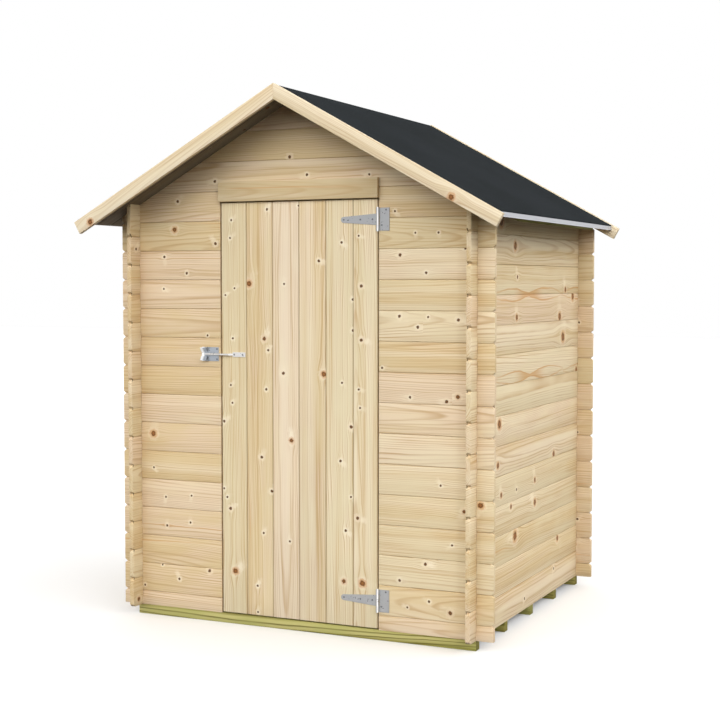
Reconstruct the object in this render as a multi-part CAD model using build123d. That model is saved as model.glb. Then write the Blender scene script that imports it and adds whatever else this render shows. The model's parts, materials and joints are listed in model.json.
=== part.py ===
from build123d import *
from math import cos, radians, sin, tan
import os

# Garden shed of interlocking boards, in millimetres
# X runs to the right along the front, Y from front to back, Z up from the ground
# The origin lies on the ground under the middle of the roof

# Boards and walls
board = 120.0
wall_t = 19.0
seam_chamfer = 2.5
body_w = 1530.0
body_d = 1360.0
log_reach = 70.0
log_chamfer_run = 11.0
log_chamfer_rise = 9.5
notch_play = 0.5
full_front_courses = 14
side_courses = 14

# Bearers and floor
bearer_count = 5
bearer_w = 38.0
bearer_h = 40.0
floor_t = 16.0
floor_board = 96.0
floor_gap = 5.0

# Roof
roof_angle = 29.0
eave_overhang = 170.0
ridge_above_wall_foot = 2136.0
front_overhang = 202.0
back_overhang = 70.0
deck_t = 16.0
deck_board = 94.0
felt_t = 4.0
bargeboard_h = 54.0
bargeboard_t = 18.0
bargeboard_above_felt = 3.5
bargeboard_past_deck = 37.0
rear_course_gap = 2.0
drip_t = 2.0
drip_drop = 18.5
drip_kick = 3.0
eave_batten_w = 45.0
eave_batten_t = 20.0
eave_batten_from_face = 163.0
eave_batten_set_in = 19.0
purlin_w = 45.0
purlin_h = 95.0

# Doorway and door
doorway_half_w = 357.0
doorway_h = 1698.0
lintel_h = 79.0
lintel_t = 16.0
door_gap = 6.0
door_head_gap = 5.0
door_foot_gap = 6.0
door_edge_board = 117.0
door_board_count = 6
post_face = 50.0
post_t = 25.0
post_lap = 12.0
post_rebate = 5.0
head_h = 69.0
ledge_h = 90.0
ledge_t = 19.0
ledge_end_gap = 7.0
brace_w = 100.0

# Hinges
hinge_above_foot = 118.0
hinge_below_head = 83.0
knuckle_length = 91.0
knuckle_r = 6.0
pin_r = 2.5
pin_fit = 0.08
knuckle_gap = 0.5
knuckle_lift = 0.5
pin_head_r = 3.6
pin_head_h = 2.0
strap_t = 2.5
strap_length = 160.0
strap_root_h = 45.0
strap_tip_h = 23.0
hinge_plate_w = 41.0
hinge_plate_h = 89.0
hinge_web = 7.0

# Latch
latch_height = 1075.0
catch_plate_w = 80.0
catch_plate_h = 57.0
catch_plate_from_jamb = 8.0
sheet_t = 2.5
wing_w = 28.0
wing_inner_half = 9.0
wing_straight = 5.0
wing_flare_out = 10.0
wing_flare_rise = 15.0
rod_r = 4.0
rod_centre_out = 12.0
rod_past_jamb = 67.0
crank_run = 14.0
striker_plate_from_edge = 53.0
striker_plate_length = 59.0
striker_plate_h = 19.0
striker_plate_t = 3.0

# How far a cutting solid passes the faces that it cuts
cutter_past = 5.0

# Worked-out levels and lines
foot_z = bearer_h
roof_length = front_overhang + body_d + back_overhang
roof_front = -roof_length / 2
roof_back = roof_length / 2
front_y = roof_front + front_overhang
back_y = front_y + body_d
half_w = body_w / 2
log_tip_x = half_w + log_reach
roof_half_w = half_w + eave_overhang
apex_z = foot_z + ridge_above_wall_foot
slope = tan(radians(roof_angle))
slope_cos = cos(radians(roof_angle))
slope_sin = sin(radians(roof_angle))
deck_top = bargeboard_above_felt + felt_t
deck_under = deck_top + deck_t
first_front_seam = foot_z + board / 2
split_z = first_front_seam + full_front_courses * board
doorway_top = foot_z + doorway_h
door_top = doorway_top - door_head_gap
door_foot = foot_z + door_foot_gap
door_left = -doorway_half_w + door_gap
door_right = doorway_half_w - door_gap
floor_top = foot_z + floor_t
deck_edge_x = roof_half_w - bargeboard_past_deck
hinge_x = doorway_half_w - door_gap / 2
hinge_y = front_y - knuckle_r - knuckle_lift
hinge_levels = {"lower": foot_z + hinge_above_foot, "upper": doorway_top - hinge_below_head}


def roof_z(x, depth=0.0):
    """Height of the plane lying depth below the bargeboards' top edges, measured square to it."""
    return apex_z - abs(x) * slope - depth / slope_cos


def block(x0, x1, y0, y1, z0, z1):
    centre = Pos((x0 + x1) / 2, (y0 + y1) / 2, (z0 + z1) / 2)
    return centre * Box(x1 - x0, y1 - y0, z1 - z0)


def prism_x(points, x0, x1):
    """Extrude a closed outline of (y, z) points from x0 to x1."""
    plane = Plane(origin=(x0, 0, 0), x_dir=(0, 1, 0), z_dir=(1, 0, 0))
    return extrude(plane * Polygon(*points, align=None), amount=x1 - x0, dir=(1, 0, 0))


def prism_y(points, y0, y1):
    """Extrude a closed outline of (x, z) points from y0 to y1."""
    plane = Plane(origin=(0, y0, 0), x_dir=(1, 0, 0), z_dir=(0, -1, 0))
    return extrude(plane * Polygon(*points, align=None), amount=y1 - y0, dir=(0, 1, 0))


def prism_z(points, z0, z1):
    """Extrude a closed outline of (x, y) points from z0 to z1."""
    return extrude(Plane.XY.offset(z0) * Polygon(*points, align=None), amount=z1 - z0, dir=(0, 0, 1))


def grooved_outline(start, end, low, high, seams, on_low=True, on_high=True):
    """Section through a row of boards, with a small V where two boards meet.

    The boards run from start to end along the first axis, between low and high on the second.
    """
    c = seam_chamfer
    points = [(start, low)]
    if on_low:
        for s in seams:
            points += [(s - c, low), (s, low + c), (s + c, low)]
    points += [(end, low), (end, high)]
    if on_high:
        for s in reversed(seams):
            points += [(s + c, high), (s, high - c), (s - c, high)]
    points.append((start, high))
    return points


def seams_between(first, pitch, low, high):
    """Seam positions first, first + pitch and so on that lie well inside low and high."""
    margin = 3 * seam_chamfer
    seams = []
    s = first
    while s < high - margin:
        if s > low + margin:
            seams.append(s)
        s += pitch
    return seams


def swap(points):
    return [(b, a) for a, b in points]


front_seams = seams_between(first_front_seam, board, foot_z, apex_z)
side_seams = [foot_z + i * board for i in range(1, side_courses + 1)]


def under_roof(solid):
    """Cut a wall off along the underside of the roof boards."""
    reach = log_tip_x + cutter_past
    low = foot_z - cutter_past
    gable = [(-reach, low), (reach, low), (reach, roof_z(reach, deck_under)),
             (0, roof_z(0, deck_under)), (-reach, roof_z(reach, deck_under))]
    near = front_y - log_reach - cutter_past
    far = back_y + log_reach + cutter_past
    return solid & prism_y(gable, near, far)


def notch_levels(seams, foot_is_neck):
    """Height bands where a wall's boards are notched away for the crossing boards.

    Each board keeps a neck half a board high in its middle, and is notched a quarter board
    from above and below, so the bands lie around the seams.
    """
    bands = [(s - board / 4, s + board / 4) for s in seams]
    if not foot_is_neck:
        bands.insert(0, (foot_z, foot_z + board / 4))
    return bands


# Front and back boards lie half a board lower than the side boards
# so the two sets of necks fill each corner between them
corner_front_seams = [s for s in front_seams if s < foot_z + side_courses * board]
front_bands = notch_levels(corner_front_seams, True)
side_bands = notch_levels(side_seams, False)


def end_vees(axis, tip, inward, near, far, seams):
    """Triangular cuts at the tips of the projecting board ends, one at each seam.

    axis is the direction in which the boards run, tip the place of their ends along it,
    inward the sign that leads back into the board.
    """
    deep = tip + inward * log_chamfer_run
    out = tip - inward * cutter_past
    rise = log_chamfer_rise * (1 + cutter_past / log_chamfer_run)
    cuts = []
    for s in seams:
        vee = [(out, s - rise), (deep, s), (out, s + rise)]
        cuts.append(prism_y(vee, near, far) if axis == "x" else prism_x(vee, near, far))
    return cuts


def crossed_wall(y0, y1):
    """Slab of boards running along X, from the foot to the roof, with notched and chamfered ends."""
    wall = prism_x(swap(grooved_outline(foot_z, apex_z, y0, y1, front_seams)), -log_tip_x, log_tip_x)
    near, far = y0 - cutter_past, y1 + cutter_past
    cuts = []
    for side in (-1, 1):
        x0, x1 = sorted((side * half_w, side * (half_w - wall_t)))
        for low, high in front_bands:
            cuts.append(block(x0 - notch_play, x1 + notch_play, near, far, low, high))
        cuts += end_vees("x", side * log_tip_x, -side, near, far, corner_front_seams)
    return under_roof(wall - cuts)


def side_wall(side):
    """Slab of boards running along Y, with its ends crossing the front and back walls."""
    x0, x1 = sorted((side * half_w, side * (half_w - wall_t)))
    y0 = front_y - log_reach
    y1 = back_y + log_reach
    top = roof_z(half_w - wall_t, deck_under) + cutter_past
    wall = prism_y(swap(grooved_outline(foot_z, top, x0, x1, side_seams[:-1])), y0, y1)
    near, far = x0 - cutter_past, x1 + cutter_past
    cuts = []
    for y in (front_y, back_y - wall_t):
        for low, high in side_bands:
            cuts.append(block(near, far, y - notch_play, y + wall_t + notch_play, low, high))
    for tip, inward in ((y0, 1), (y1, -1)):
        cuts += end_vees("y", tip, inward, near, far, [foot_z] + side_seams[:-1])
    # The top course stops short of the bargeboard at the back
    course_foot = side_seams[-2]
    course_end = roof_back - bargeboard_t - rear_course_gap
    cuts.append(block(near, far, course_end, y1 + cutter_past, course_foot, top + cutter_past))
    return under_roof(wall - cuts)


def make_bearers():
    pitch = (body_d - bearer_w) / (bearer_count - 1)
    parts = {}
    for i in range(bearer_count):
        y = front_y + i * pitch
        parts[f"bearer_{i + 1}"] = block(-half_w, half_w, y, y + bearer_w, 0, bearer_h)
    return parts


def make_floor():
    near = front_y + wall_t + floor_gap
    far = back_y - wall_t - floor_gap
    reach = half_w - wall_t - floor_gap
    seams = seams_between(near + floor_board, floor_board, near, far)
    outline = grooved_outline(near, far, foot_z, floor_top, seams, on_low=False)
    return {"floor_boards": prism_x(outline, -reach, reach)}


def make_walls():
    """Four walls, with the front one parted beside the door and at the foot of its gable."""
    y1 = front_y + wall_t
    near, far = front_y - cutter_past, y1 + cutter_past
    wall = crossed_wall(front_y, y1)
    over_door = block(-doorway_half_w, doorway_half_w, near, far, doorway_top, split_z)
    parts = {}
    parts["front_gable"] = wall & (block(-log_tip_x, log_tip_x, near, far, split_z, apex_z) + over_door)
    for word, side in (("left", -1), ("right", 1)):
        x0, x1 = sorted((side * doorway_half_w, side * (log_tip_x + cutter_past)))
        parts[f"front_wall_{word}"] = wall & block(x0, x1, near, far, foot_z - cutter_past, split_z)
        parts[f"{word}_wall"] = side_wall(side)
    parts["back_wall"] = crossed_wall(back_y - wall_t, back_y)
    return parts


def make_doorway():
    """Board over the door outside, and the rebated posts and head that the door closes against."""
    inner = front_y + wall_t
    parts = {}
    parts["door_lintel"] = block(-doorway_half_w, doorway_half_w, front_y - lintel_t, front_y,
                                 doorway_top, doorway_top + lintel_h)
    head_low = doorway_top - door_head_gap - post_lap
    for name, side in (("door_post_left", -1), ("door_post_right", 1)):
        x_lap = side * (doorway_half_w - post_lap)
        x_jamb = side * doorway_half_w
        x_out = side * (doorway_half_w - post_lap + post_face)
        outline = [(x_jamb, inner), (x_out, inner), (x_out, inner + post_t), (x_lap, inner + post_t),
                   (x_lap, inner + post_rebate), (x_jamb, inner + post_rebate)]
        parts[name] = prism_z(outline, floor_top, head_low)
    head_reach = doorway_half_w - post_lap + post_face
    outline = [(inner, doorway_top), (inner + post_rebate, doorway_top), (inner + post_rebate, head_low),
               (inner + post_t, head_low), (inner + post_t, head_low + head_h), (inner, head_low + head_h)]
    parts["door_head"] = prism_x(outline, -head_reach, head_reach)
    return parts


def slope_slab(depth0, depth1, x_edge, y0, y1, side):
    """Part of one roof slope between two depths below the top plane, cut plumb at ridge and eave."""
    outline = [(0, roof_z(0, depth0)), (side * x_edge, roof_z(x_edge, depth0)),
               (side * x_edge, roof_z(x_edge, depth1)), (0, roof_z(0, depth1))]
    return prism_y(outline, y0, y1)


def deck_vees(side, y0, y1):
    """Small V cuts along the seams on the underside of the roof boards, running down the slope."""
    length = deck_edge_x / slope_cos + 2 * cutter_past
    cutter = Polygon((-seam_chamfer, 0), (seam_chamfer, 0), (0, seam_chamfer), align=None)
    cuts = []
    for y in seams_between(y0 + deck_board, deck_board, y0, y1):
        down = Vector(side * slope_cos, 0, -slope_sin)
        up = Vector(side * slope_sin, 0, slope_cos)
        start = Vector(0, y, roof_z(0, deck_under)) - down * cutter_past
        plane = Plane(origin=start, x_dir=Vector(0, 1, 0), z_dir=Vector(0, 1, 0).cross(up))
        cuts.append(extrude(plane * cutter, amount=length, dir=down))
    return cuts


def make_roof():
    parts = {}
    y0 = roof_front + bargeboard_t
    y1 = roof_back - bargeboard_t
    for word, side in (("left", -1), ("right", 1)):
        deck = slope_slab(deck_top, deck_under, deck_edge_x, y0, y1, side)
        parts[f"roof_deck_{word}"] = deck - deck_vees(side, y0, y1)
        felt = slope_slab(bargeboard_above_felt, deck_top, deck_edge_x + drip_t, y0, y1, side)
        parts[f"roof_felt_{word}"] = felt
        parts[f"drip_strip_{word}"] = drip_strip(side, y0, y1)
        parts[f"eave_batten_{word}"] = eave_batten(side)
        parts[f"front_bargeboard_{word}"] = bargeboard(side, roof_front, y0)
        parts[f"back_bargeboard_{word}"] = bargeboard(side, y1, roof_back)
    parts["ridge_purlin"] = ridge_purlin()
    return parts


def bargeboard(side, y0, y1):
    """Board along the gable edge, cut plumb at the ridge and square at its foot."""
    foot_x = roof_half_w - bargeboard_h * slope_sin
    foot_z_low = roof_z(roof_half_w) - bargeboard_h * slope_cos
    outline = [(0, apex_z), (side * roof_half_w, roof_z(roof_half_w)),
               (side * foot_x, foot_z_low), (0, roof_z(0, bargeboard_h))]
    return prism_y(outline, y0, y1)


def drip_strip(side, y0, y1):
    """Folded metal strip over the eave ends of the roof boards."""
    x_in = deck_edge_x
    x_out = deck_edge_x + drip_t
    low = roof_z(x_out, deck_top) - drip_drop
    knee = low + drip_kick
    outline = [(x_in, roof_z(x_in, deck_top)), (x_out, roof_z(x_out, deck_top)), (x_out, knee),
               (x_out + drip_kick, low), (x_in + drip_kick, low), (x_in, knee)]
    return prism_y([(side * x, z) for x, z in outline], y0, y1)


def eave_batten(side):
    """Batten under the free ends of the roof boards."""
    x_out = deck_edge_x - eave_batten_set_in
    run = eave_batten_w * slope_cos
    drop = eave_batten_t
    top_out = (x_out, roof_z(x_out, deck_under))
    top_in = (x_out - run, roof_z(x_out - run, deck_under))
    low_in = (top_in[0] - drop * slope_sin, top_in[1] - drop * slope_cos)
    low_out = (top_out[0] - drop * slope_sin, top_out[1] - drop * slope_cos)
    outline = [(side * x, z) for x, z in (top_out, low_out, low_in, top_in)]
    return prism_y(outline, front_y + eave_batten_from_face, back_y - eave_batten_from_face)


def ridge_purlin():
    """Beam between the gables, bevelled to both slopes."""
    half = purlin_w / 2
    low = roof_z(0, deck_under) - purlin_h
    outline = [(-half, low), (half, low), (half, roof_z(half, deck_under)),
               (0, roof_z(0, deck_under)), (-half, roof_z(half, deck_under))]
    return prism_y(outline, front_y + wall_t, back_y - wall_t)


def make_door():
    y0 = front_y
    y1 = front_y + wall_t
    c = seam_chamfer
    edges = [door_left]
    edges += [door_left + door_edge_board + i * board for i in range(door_board_count - 1)]
    edges.append(door_right)
    parts = {}
    for i in range(door_board_count):
        a, b = edges[i], edges[i + 1]
        outline = [(a + c, y0), (b - c, y0), (b, y0 + c), (b, y1 - c),
                   (b - c, y1), (a + c, y1), (a, y1 - c), (a, y0 + c)]
        parts[f"door_board_{i + 1}"] = prism_z(outline, door_foot, door_top)
    reach = doorway_half_w - post_lap - ledge_end_gap
    for word, z in hinge_levels.items():
        low, high = z - ledge_h / 2, z + ledge_h / 2
        parts[f"door_ledge_{word}"] = block(-reach, reach, y1, y1 + ledge_t, low, high)
    low = hinge_levels["lower"] + ledge_h / 2
    high = hinge_levels["upper"] - ledge_h / 2
    brace = [(reach - brace_w, low), (reach, low), (-reach + brace_w, high), (-reach, high)]
    parts["door_brace"] = prism_y(brace, y1, y1 + ledge_t)
    return parts


def barrel(z0, z1, radius):
    """Round piece on the hinge's axis between two heights."""
    return Pos(hinge_x, hinge_y, (z0 + z1) / 2) * Cylinder(radius, z1 - z0)


def hinge_strap(z):
    """Tapered strap with a round tip, folded round the pin."""
    tip_r = strap_tip_h / 2
    tip_x = hinge_x - strap_length + tip_r
    root = strap_root_h / 2
    outline = make_face(
        Polyline((tip_x, z + tip_r), (hinge_x, z + root), (hinge_x, z - root), (tip_x, z - tip_r))
        + ThreePointArc((tip_x, z - tip_r), (tip_x - tip_r, z), (tip_x, z + tip_r))
    )
    plane = Plane(origin=(0, front_y, 0), x_dir=(1, 0, 0), z_dir=(0, -1, 0))
    leaf = extrude(plane * outline, amount=strap_t, dir=(0, -1, 0))
    bore = barrel(z - root - cutter_past, z + root + cutter_past, pin_r + pin_fit)
    return leaf + barrel(z - root, z + root, knuckle_r) - bore


def hinge_plate(z):
    """Upright plate on the wall with the outer knuckles and the pin riveted into them."""
    plate_x = hinge_x + hinge_web
    half = hinge_plate_h / 2
    plate = block(plate_x, plate_x + hinge_plate_w, front_y - strap_t, front_y, z - half, z + half)
    inner = strap_root_h / 2 + knuckle_gap
    outer = knuckle_length / 2
    for low, high in ((-outer, -inner), (inner, outer)):
        web_low, web_high = max(low, -half), min(high, half)
        plate += block(hinge_x, plate_x, front_y - strap_t, front_y, z + web_low, z + web_high)
        plate += barrel(z + low, z + high, knuckle_r)
    plate += barrel(z - outer, z + outer, pin_r)
    plate += barrel(z + outer, z + outer + pin_head_h, pin_head_r)
    plate += barrel(z - outer - pin_head_h, z - outer, pin_head_r)
    return plate


def latch_catch():
    """Plate on the wall with two flared wings that guide the striker rod in from the front."""
    z = foot_z + latch_height
    x1 = -doorway_half_w - catch_plate_from_jamb
    x0 = x1 - catch_plate_w
    half = catch_plate_h / 2
    catch = block(x0, x1, front_y - sheet_t, front_y, z - half, z + half)
    knee = front_y - sheet_t - wing_straight
    lip = knee - wing_flare_out
    for side in (-1, 1):
        a = z + side * wing_inner_half
        b = z + side * (wing_inner_half + sheet_t)
        flare = side * wing_flare_rise
        outline = [(front_y, a), (knee, a), (lip, a + flare), (lip, b + flare), (knee, b), (front_y, b)]
        catch += prism_x(outline, x0, x0 + wing_w)
    return catch


def latch_striker():
    """Flat foot on the door, cranked out to a round rod that reaches over the wall."""
    z = foot_z + latch_height
    half = striker_plate_h / 2
    foot_x = door_left + striker_plate_from_edge
    foot_end = foot_x + striker_plate_length
    foot = block(foot_x, foot_end, front_y - striker_plate_t, front_y, z - half, z + half)
    rod_y = front_y - rod_centre_out
    rod_x = foot_x - crank_run
    tip_x = -doorway_half_w - rod_past_jamb
    outer, inner = rod_y - rod_r / 2, rod_y + rod_r / 2
    crank = [(foot_x, front_y), (foot_x, front_y - striker_plate_t), (rod_x, outer),
             (rod_x - rod_r, outer), (rod_x - rod_r, inner), (rod_x, inner)]
    neck = prism_z(crank, z - rod_r, z + rod_r)
    rod = Pos((tip_x + rod_x) / 2, rod_y, z) * Rot(0, 90, 0) * Cylinder(rod_r, rod_x - tip_x)
    return foot + neck + rod


def make_ironwork():
    parts = {}
    for word, z in hinge_levels.items():
        parts[f"hinge_plate_{word}"] = hinge_plate(z)
        parts[f"hinge_strap_{word}"] = hinge_strap(z)
    parts["latch_catch"] = latch_catch()
    parts["latch_striker"] = latch_striker()
    return parts


def main():
    os.makedirs("parts", exist_ok=True)
    parts = {}
    for make in (make_bearers, make_floor, make_walls, make_doorway, make_roof, make_door, make_ironwork):
        parts.update(make())
    for name, solid in parts.items():
        solid.label = name
        export_step(solid, f"parts/{name}.step")
        print(name)


main()
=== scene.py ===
# Wooden garden shed: boards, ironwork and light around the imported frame
import json
import math
import random

import bpy
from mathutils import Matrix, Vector


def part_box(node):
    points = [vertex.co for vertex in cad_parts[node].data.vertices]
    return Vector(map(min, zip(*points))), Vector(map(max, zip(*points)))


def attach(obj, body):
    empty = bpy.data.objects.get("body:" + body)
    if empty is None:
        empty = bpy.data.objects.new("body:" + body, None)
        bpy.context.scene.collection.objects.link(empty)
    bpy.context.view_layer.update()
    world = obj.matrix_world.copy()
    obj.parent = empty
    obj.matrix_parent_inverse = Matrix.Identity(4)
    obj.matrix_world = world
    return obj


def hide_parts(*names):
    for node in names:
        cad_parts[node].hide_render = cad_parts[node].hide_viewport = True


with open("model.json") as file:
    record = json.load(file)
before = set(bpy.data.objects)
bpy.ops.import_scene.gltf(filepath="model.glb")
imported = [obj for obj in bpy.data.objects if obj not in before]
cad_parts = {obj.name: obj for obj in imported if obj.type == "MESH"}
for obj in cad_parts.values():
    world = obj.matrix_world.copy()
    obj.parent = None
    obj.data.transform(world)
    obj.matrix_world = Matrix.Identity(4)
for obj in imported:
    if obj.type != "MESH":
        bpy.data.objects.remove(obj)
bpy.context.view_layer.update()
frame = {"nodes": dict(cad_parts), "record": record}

# the shed's own lines, in metres, and the slope of its roof in degrees
shed = {"board": 0.12, "foot": 0.04, "frontY": -0.614, "roofAngle": 29.0,
        "deckBoard": 0.094, "floorBoard": 0.096}
right, back, up = Vector((1, 0, 0)), Vector((0, 1, 0)), Vector((0, 0, 1))


def paint(red, green, blue):
    # a colour as it is seen, 0 to 255, turned by the sRGB curve to the linear one that sockets take
    return tuple((c / 12.92 if c <= 0.04045 else ((c + 0.055) / 1.055) ** 2.4)
                 for c in (red / 255, green / 255, blue / 255)) + (1.0,)


# short helpers for material nodes
def plug(tree, value, socket):
    if isinstance(value, bpy.types.NodeSocket):
        tree.links.new(value, socket)
    else:
        socket.default_value = value


def calc(tree, operation, *values):
    step = tree.nodes.new("ShaderNodeMath")
    step.operation = operation
    for socket, value in zip(step.inputs, values):
        plug(tree, value, socket)
    return step.outputs[0]


def plus(tree, a, b):
    return calc(tree, "ADD", a, b)


def times(tree, a, b):
    return calc(tree, "MULTIPLY", a, b)


def timesPlus(tree, value, gain, base):
    return calc(tree, "MULTIPLY_ADD", value, gain, base)


def unsigned(tree, value):
    return calc(tree, "ABSOLUTE", value)


def around(tree, value, middle, width):
    # spreads a value of 0 to 1 over a width round a middle
    return timesPlus(tree, value, width, middle - width / 2)


def ramp(tree, value, start, end, low=0.0, high=1.0, kind="LINEAR"):
    # goes from low at start to high at end, and stays between them
    step = tree.nodes.new("ShaderNodeMapRange")
    step.interpolation_type = kind
    for socket, number in zip(step.inputs, (value, start, end, low, high)):
        plug(tree, number, socket)
    return step.outputs[0]


def fade(tree, value, start, end, low=0.0, high=1.0):
    # a ramp that starts and ends gently
    return ramp(tree, value, start, end, low, high, "SMOOTHSTEP")


def blendPaint(tree, share, under, over, how="MIX"):
    step = tree.nodes.new("ShaderNodeMix")
    step.data_type = "RGBA"
    step.blend_type = how
    plug(tree, share, step.inputs[0])
    plug(tree, under, step.inputs[6])
    plug(tree, over, step.inputs[7])
    return step.outputs[2]


def stretch(tree, vector, sizes, shift=None):
    step = tree.nodes.new("ShaderNodeVectorMath")
    step.operation = "MULTIPLY_ADD"
    plug(tree, vector, step.inputs[0])
    step.inputs[1].default_value = sizes
    if shift is not None:
        plug(tree, shift, step.inputs[2])
    return step.outputs[0]


def speckle(tree, vector, scale, detail=2.0, roughness=0.5):
    step = tree.nodes.new("ShaderNodeTexNoise")
    plug(tree, vector, step.inputs["Vector"])
    step.inputs["Scale"].default_value = scale
    step.inputs["Detail"].default_value = detail
    step.inputs["Roughness"].default_value = roughness
    return step.outputs["Fac"]


def parts3(tree, vector):
    step = tree.nodes.new("ShaderNodeSeparateXYZ")
    plug(tree, vector, step.inputs[0])
    return step.outputs[0], step.outputs[1], step.outputs[2]


def joined3(tree, a, b, c):
    step = tree.nodes.new("ShaderNodeCombineXYZ")
    for socket, value in zip(step.inputs, (a, b, c)):
        plug(tree, value, socket)
    return step.outputs[0]


def reach(tree, a, b):
    # length of the slanting side over a and b
    return calc(tree, "SQRT", plus(tree, times(tree, a, a), times(tree, b, b)))


def pieceData(tree, name):
    step = tree.nodes.new("ShaderNodeAttribute")
    step.attribute_name = name
    return step


def freshMaterial(name):
    material = bpy.data.materials.new(name)
    material.use_nodes = True
    tree = material.node_tree
    shader = tree.nodes["Principled BSDF"]
    return material, tree, shader


def layered(tree, colour, layers):
    # lays one paint after another over a colour, each by its share
    for share, over in layers:
        colour = blendPaint(tree, share, colour, over)
    return colour


def tinted(tree, colour, tint):
    # a colour made lighter or darker by a number, the same in red, green and blue
    return blendPaint(tree, 1.0, colour, joined3(tree, tint, tint, tint), "MULTIPLY")


def seenPlainly(tree):
    # 1 for what the camera sees, straight, mirrored or through glass, and 0 for the light that it gives
    path = tree.nodes.new("ShaderNodeLightPath")
    mirrored = calc(tree, "MAXIMUM", path.outputs["Is Glossy Ray"], path.outputs["Is Transmission Ray"])
    return calc(tree, "MAXIMUM", path.outputs["Is Camera Ray"], mirrored)


def relief(tree, shader, height, distance, strength=1.0):
    step = tree.nodes.new("ShaderNodeBump")
    step.inputs["Strength"].default_value = strength
    step.inputs["Distance"].default_value = distance
    plug(tree, height, step.inputs["Height"])
    tree.links.new(step.outputs[0], shader.inputs["Normal"])


# Wood: rings round a heart below the face, bent round the knots, with fine fibres on top. Each piece brings
# its own "grain" (along, across, deep), "knot" and "resinMark" (how far away along and across, and the size),
# "tone" (how deep in colour, how rosy, where the heart lies), "sawn" (1 on sawn ends) and "joint" (1 in the
# grooves between boards), where the gap colour darkens the wood, partly as dirt and partly as painted shade.
# Here colours are 0 to 255, ring is from one ring to the next in metres, and the others are shares.
woods = {
    "wall_wood": {
        "pale": (233, 216, 184), "deep": (218, 194, 150), "late": (184, 146, 96), "rosy": (229, 206, 177),
        "lime": (222, 206, 168), "resin": (200, 144, 78), "halo": (244, 230, 202), "gap": (150, 122, 80),
        "ring": 0.0062, "lines": 0.42, "streaks": 0.5, "eye": 0.85, "grooveDirtAndShadeShare": 0.12,
        "ends": 0.12, "rough": 0.62},
    "door_wood": {
        "pale": (235, 220, 190), "deep": (221, 200, 158), "late": (190, 152, 100), "rosy": (233, 214, 188),
        "lime": (222, 209, 172), "resin": (204, 144, 82), "halo": (245, 233, 208), "gap": (140, 114, 78),
        "ring": 0.0060, "lines": 0.42, "streaks": 0.6, "eye": 0.85, "grooveDirtAndShadeShare": 0.4,
        "ends": 0.12, "rough": 0.62},
    "trim_wood": {
        "pale": (240, 225, 196), "deep": (212, 190, 148), "late": (196, 162, 114), "rosy": (238, 218, 192),
        "lime": (232, 217, 182), "resin": (206, 148, 90), "halo": (246, 234, 210), "gap": (214, 192, 154),
        "ring": 0.0056, "lines": 0.35, "streaks": 0.4, "eye": 0.5, "grooveDirtAndShadeShare": 0.2,
        "ends": 0.12, "rough": 0.6},
    "frame_wood": {
        "pale": (228, 213, 180), "deep": (210, 189, 143), "late": (180, 148, 98), "rosy": (220, 200, 170),
        "lime": (212, 200, 156), "resin": (196, 140, 82), "halo": (241, 229, 202), "gap": (150, 122, 80),
        "ring": 0.0058, "lines": 0.45, "streaks": 0.6, "eye": 0.7, "grooveDirtAndShadeShare": 0.35,
        "ends": 0.12, "rough": 0.65},
    # the roof boards' colours are darker and greyer than the rest of the wood: painted shade for the roof's
    # underside
    "deck_wood": {
        "pale": (142, 134, 120), "deep": (126, 116, 100), "late": (108, 94, 76), "rosy": (138, 126, 112),
        "lime": (132, 126, 110), "resin": (126, 98, 68), "halo": (152, 144, 128), "gap": (78, 68, 54),
        "ring": 0.0060, "lines": 0.4, "streaks": 0.5, "eye": 0.5, "grooveDirtAndShadeShare": 0.7,
        "ends": 0.12, "rough": 0.75},
    "floor_wood": {
        "pale": (230, 210, 172), "deep": (216, 190, 144), "late": (192, 156, 102), "rosy": (224, 198, 164),
        "lime": (214, 200, 158), "resin": (196, 140, 82), "halo": (238, 224, 192), "gap": (150, 122, 80),
        "ring": 0.0060, "lines": 0.5, "streaks": 0.5, "eye": 0.6, "grooveDirtAndShadeShare": 0.4,
        "ends": 0.12, "rough": 0.66},
    "bearer_timber": {
        "pale": (196, 186, 122), "deep": (152, 142, 70), "late": (96, 90, 40), "rosy": (184, 170, 100),
        "lime": (166, 166, 92), "resin": (124, 108, 46), "halo": (206, 196, 140), "gap": (130, 122, 64),
        "ring": 0.0070, "lines": 0.7, "streaks": 0.9, "eye": 0.1, "grooveDirtAndShadeShare": 0.2,
        "ends": 0.5, "rough": 0.8},
    "green_batten": {
        "pale": (190, 186, 126), "deep": (166, 164, 96), "late": (112, 110, 60), "rosy": (176, 172, 108),
        "lime": (164, 170, 104), "resin": (124, 114, 60), "halo": (196, 192, 140), "gap": (120, 116, 66),
        "ring": 0.0060, "lines": 0.6, "streaks": 0.8, "eye": 0.1, "grooveDirtAndShadeShare": 0.2,
        "ends": 0.12, "rough": 0.75},
}
# each pattern's patches in a metre along, across and into the grain, then its detail and its roughness
woodPatterns = {
    "wander": ((1.0, 2.0, 2.0), 1.0, 0.5), "ripple": ((6.0, 16.0, 16.0), 2.0, 0.5),
    "heart": ((0.3, 0.0, 0.0), 0.0, 0.5), "blotch": ((5.0, 14.0, 14.0), 1.0, 0.5),
    "fibres": ((5.0, 420.0, 420.0), 2.0, 0.6), "bands": ((0.5, 24.0, 24.0), 1.0, 0.5),
    "threads": ((1.3, 170.0, 170.0), 2.0, 0.6), "veins": ((1.2, 85.0, 85.0), 1.0, 0.5),
    "rim": ((160.0, 160.0, 160.0), 1.0, 0.5), "torn": ((60.0, 130.0, 130.0), 2.0, 0.65),
}
# round which middle and over what width each thing varies: lines and heart in metres, tears in knot sizes
woodSwings = {
    "wander": (0.0, 0.036), "ripple": (0.0, 0.006), "lens": (0.0, 0.02), "heartAside": (0.0, 0.4),
    "heartDeep": (0.0, 0.2), "heartByHue": (0.09, 0.08), "rim": (1.0, 0.8), "tear": (0.0, 6.0),
    "bands": (0.0, 2.0), "light": (0.5, 0.9), "blotch": (0.0, 1.0), "fibres": (1.0, 0.14),
}
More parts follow.
